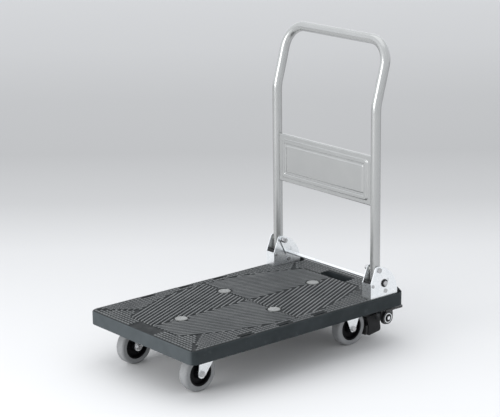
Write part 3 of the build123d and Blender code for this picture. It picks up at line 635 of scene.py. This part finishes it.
def make_panel(bm):
    """A pressed sheet with a bead, a raised middle and flanges turned back at top and bottom."""
    front_x = panel_low.x + press
    width = panel_high.y - panel_low.y
    rows = panel_rows()
    sheets = []
    for thick in (0.0, sheet):
        grid = []
        for back, down in rows:
            z = panel_high.z - down
            facing = min(1.0, min(down, panel_height - down) / bend) if back > 0 else 1.0
            inward = thick * (1 - facing) * (1 if down < panel_height / 2 else -1)
            line = []
            for c in range(columns + 1):
                y = panel_low.y + width * c / columns
                x = front_x + back - panel_rise(y, z) + thick * facing
                line.append(bm.verts.new((x, y, z - inward)))
            grid.append(line)
        sheets.append(grid)
    front, rear = sheets
    for r in range(len(rows) - 1):
        for c in range(columns):
            bm.faces.new((front[r][c], front[r][c + 1], front[r + 1][c + 1], front[r + 1][c]))
            bm.faces.new((rear[r][c], rear[r + 1][c], rear[r + 1][c + 1], rear[r][c + 1]))
    for r in range(len(rows) - 1):
        bm.faces.new((front[r][0], front[r + 1][0], rear[r + 1][0], rear[r][0]))
        bm.faces.new((front[r][-1], rear[r][-1], rear[r + 1][-1], front[r + 1][-1]))
    for c in range(columns):
        bm.faces.new((front[0][c], rear[0][c], rear[0][c + 1], front[0][c + 1]))
        bm.faces.new((front[-1][c], front[-1][c + 1], rear[-1][c + 1], rear[-1][c]))


panel = piece("handle_panel_sheet", make_panel, "handle", handle_paint, 50.0)
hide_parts("handle_panel")

# ---------------------------------------------------------------- floor, light and camera
azimuth = math.radians(-39.66)
elevation = math.radians(15.45)
roll = math.radians(-0.70)
half = 30.0
floor_corners = [(-half, -half, 0), (half, -half, 0), (half, half, 0), (-half, half, 0)]
floor_mesh = bpy.data.meshes.new("floor")
floor_mesh.from_pydata(floor_corners, [], [(0, 1, 2, 3)])
floor = bpy.data.objects.new("floor", floor_mesh)
bpy.context.scene.collection.objects.link(floor)
floor_material, floor_tree, floor_shader = shader("floor_paper")
away = split_xyz(floor_tree, place(floor_tree, turn=(0, 0, -azimuth)))["Y"]
floor_shade = floor_tree.nodes.new("ShaderNodeValToRGB")
far = remap(floor_tree, away, -1.0, 7.0)
floor_tree.links.new(far, floor_shade.inputs["Fac"])
ramp = floor_shade.color_ramp
stops = [  # painted light and shade on white paper: its grey, from the cart's front to far behind it, stands in for the lamps' fall-off
    (0.0, 0.74),
    (0.08, 0.72),
    (0.1275, 0.685),
    (0.18, 0.645),
    (0.245, 0.59),
    (0.321, 0.455),
    (0.4125, 0.39),
    (0.5375, 0.42),
    (0.70, 0.495),
    (0.90, 0.545),
]
while len(ramp.elements) < len(stops):
    ramp.elements.new(0.5)
for element, (position, value) in zip(ramp.elements, stops):
    element.position = position
    element.color = (value, value, value, 1)
floor_tree.links.new(floor_shade.outputs["Color"], floor_shader.inputs["Base Color"])
floor_shader.inputs["Roughness"].default_value = 0.9
floor_mesh.materials.append(floor_material)

scene = bpy.context.scene
scene.view_settings.view_transform = "Standard"
world = bpy.data.worlds.new("studio")
world.use_nodes = True
sky = world.node_tree
sky_coords = sky.nodes.new("ShaderNodeTexCoord")
sky_across = split_xyz(sky, sky_coords.outputs["Generated"])["Y"]
sky_shade = remap(sky, sky_across, -0.9, 0.7, 1.08, 1.28)
sky.links.new(sky_shade, sky.nodes["Background"].inputs["Strength"])
sky.nodes["Background"].inputs["Color"].default_value = (0.95, 0.97, 1.0, 1)
scene.world = world


def softbox(name, position, target, size, power):
    """A white rectangular lamp that faces the target."""
    lamp = bpy.data.lights.new(name, "AREA")
    lamp.shape = "RECTANGLE"
    lamp.size, lamp.size_y = size
    lamp.energy = power
    made = bpy.data.objects.new(name, lamp)
    made.location = position
    aim = (Vector(target) - Vector(position)).to_track_quat("-Z", "Y")
    made.rotation_euler = aim.to_euler()
    scene.collection.objects.link(made)


middle = (0, 0, 0.3)
softbox("key", (-4.2, 0.6, 1.5), middle, (2.4, 2.0), 80)
softbox("top", (0.4, 0.6, 4.4), middle, (4.0, 4.0), 30)

distance = 4.78475
lens_in_widths = 1791.95 / 500  # focal length as a share of the frame's width
sensor_width = 36.0
target = Vector((deck_x, -9.34 * mm, 405.92 * mm))
back = Vector(
    (
        math.sin(azimuth) * math.cos(elevation),
        -math.cos(azimuth) * math.cos(elevation),
        math.sin(elevation),
    )
)
right = Vector((math.cos(azimuth), math.sin(azimuth), 0))
up = back.cross(right)
turned_right = right * math.cos(roll) + up * math.sin(roll)
turned_up = up * math.cos(roll) - right * math.sin(roll)
camera_data = bpy.data.cameras.new("camera")
camera_data.sensor_width = sensor_width
camera_data.lens = lens_in_widths * sensor_width
camera_data.clip_end = 100
camera = bpy.data.objects.new("camera", camera_data)
place_at = target + back * distance
camera.matrix_world = Matrix(
    (
        (turned_right.x, turned_up.x, back.x, place_at.x),
        (turned_right.y, turned_up.y, back.y, place_at.y),
        (turned_right.z, turned_up.z, back.z, place_at.z),
        (0, 0, 0, 1),
    )
)
scene.collection.objects.link(camera)
scene.camera = camera
